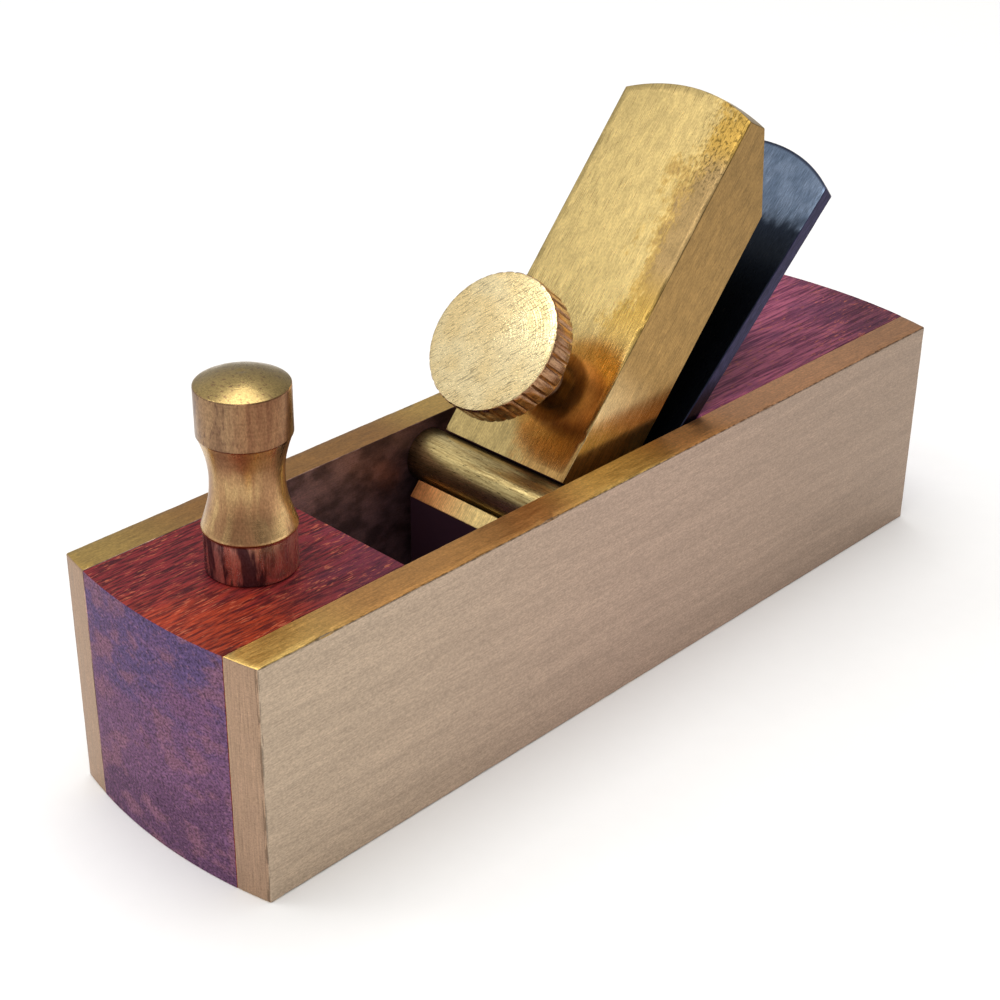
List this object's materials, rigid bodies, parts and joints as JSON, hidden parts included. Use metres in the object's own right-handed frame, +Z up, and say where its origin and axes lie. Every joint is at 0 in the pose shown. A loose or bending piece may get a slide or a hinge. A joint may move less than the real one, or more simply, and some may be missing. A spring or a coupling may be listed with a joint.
{
  "type": "hand plane",
  "caption": "Small finger plane: brass cheeks on red hardwood blocks, a blued steel iron, a brass lever cap on a cross pin with a fluted thumbscrew, and a turned brass front knob.",
  "frame": {"origin": "centre of the sole, at the bottom centre of the bounding box", "axes": "+Z up, square to the sole; +Y towards the heel, so the toe and the cutting edge face -Y; +X across the body"},
  "size_m": [0.0234, 0.089, 0.0486],
  "materials": {
    "cheek_brass": "fine lengthwise brushing on pale satin plate, small nicks along the edges",
    "satin_brass": "satin, brushed or turned, warm gold with light tarnish spots",
    "pin_brass": "dull olive drawn rod",
    "blued_steel": "blue-black ground steel",
    "red_hardwood": "oiled deep red and purple hardwood, grain lengthwise, end grain at toe and heel"
  },
  "bodies": {
    "plane_body": {"left_cheek": "cheek_brass", "right_cheek": "cheek_brass", "toe_block": "red_hardwood", "heel_block": "red_hardwood", "cross_pin": "pin_brass", "toe_dowel_front": "satin_brass", "toe_dowel_rear": "satin_brass", "heel_dowel_front": "satin_brass", "heel_dowel_rear": "satin_brass", "front_knob": "satin_brass", "knob_stud": "satin_brass"},
    "lever_cap": {"lever_cap": "satin_brass"},
    "thumbscrew_shank": {"thumbscrew_shank": "satin_brass"},
    "thumbscrew_head": {"thumbscrew_head": "satin_brass"},
    "iron": {"iron": "blued_steel"}
  },
  "joints": [
    {"name": "iron_slide", "type": "slide", "parent": "plane_body", "child": "iron", "axis": [0, 0.7431, 0.6691], "range_m": [-0.0003, 0.025]},
    {"name": "lever_cap_tilt", "type": "hinge", "parent": "plane_body", "child": "lever_cap", "pos_m": [0, -0.00635, 0.01818], "axis": [-1, 0, 0], "range_deg": [0, 5]},
    {"name": "thumbscrew_travel", "type": "slide", "parent": "lever_cap", "child": "thumbscrew_shank", "axis": [0, -0.7547, 0.6561], "range_m": [0, 0.00105]},
    {"name": "thumbscrew_turn", "type": "hinge", "parent": "thumbscrew_shank", "child": "thumbscrew_head", "pos_m": [0, 0.00041, 0.02595], "axis": [0, -0.7547, 0.6561], "range_deg": [0, 540]}
  ],
  "couplings": [
    {"joint": "thumbscrew_travel", "follows": "thumbscrew_turn", "m_per_rad": 0.0001114},
    {"joint": "lever_cap_tilt", "follows": "thumbscrew_turn", "ratio": 0.009259}
  ]
}
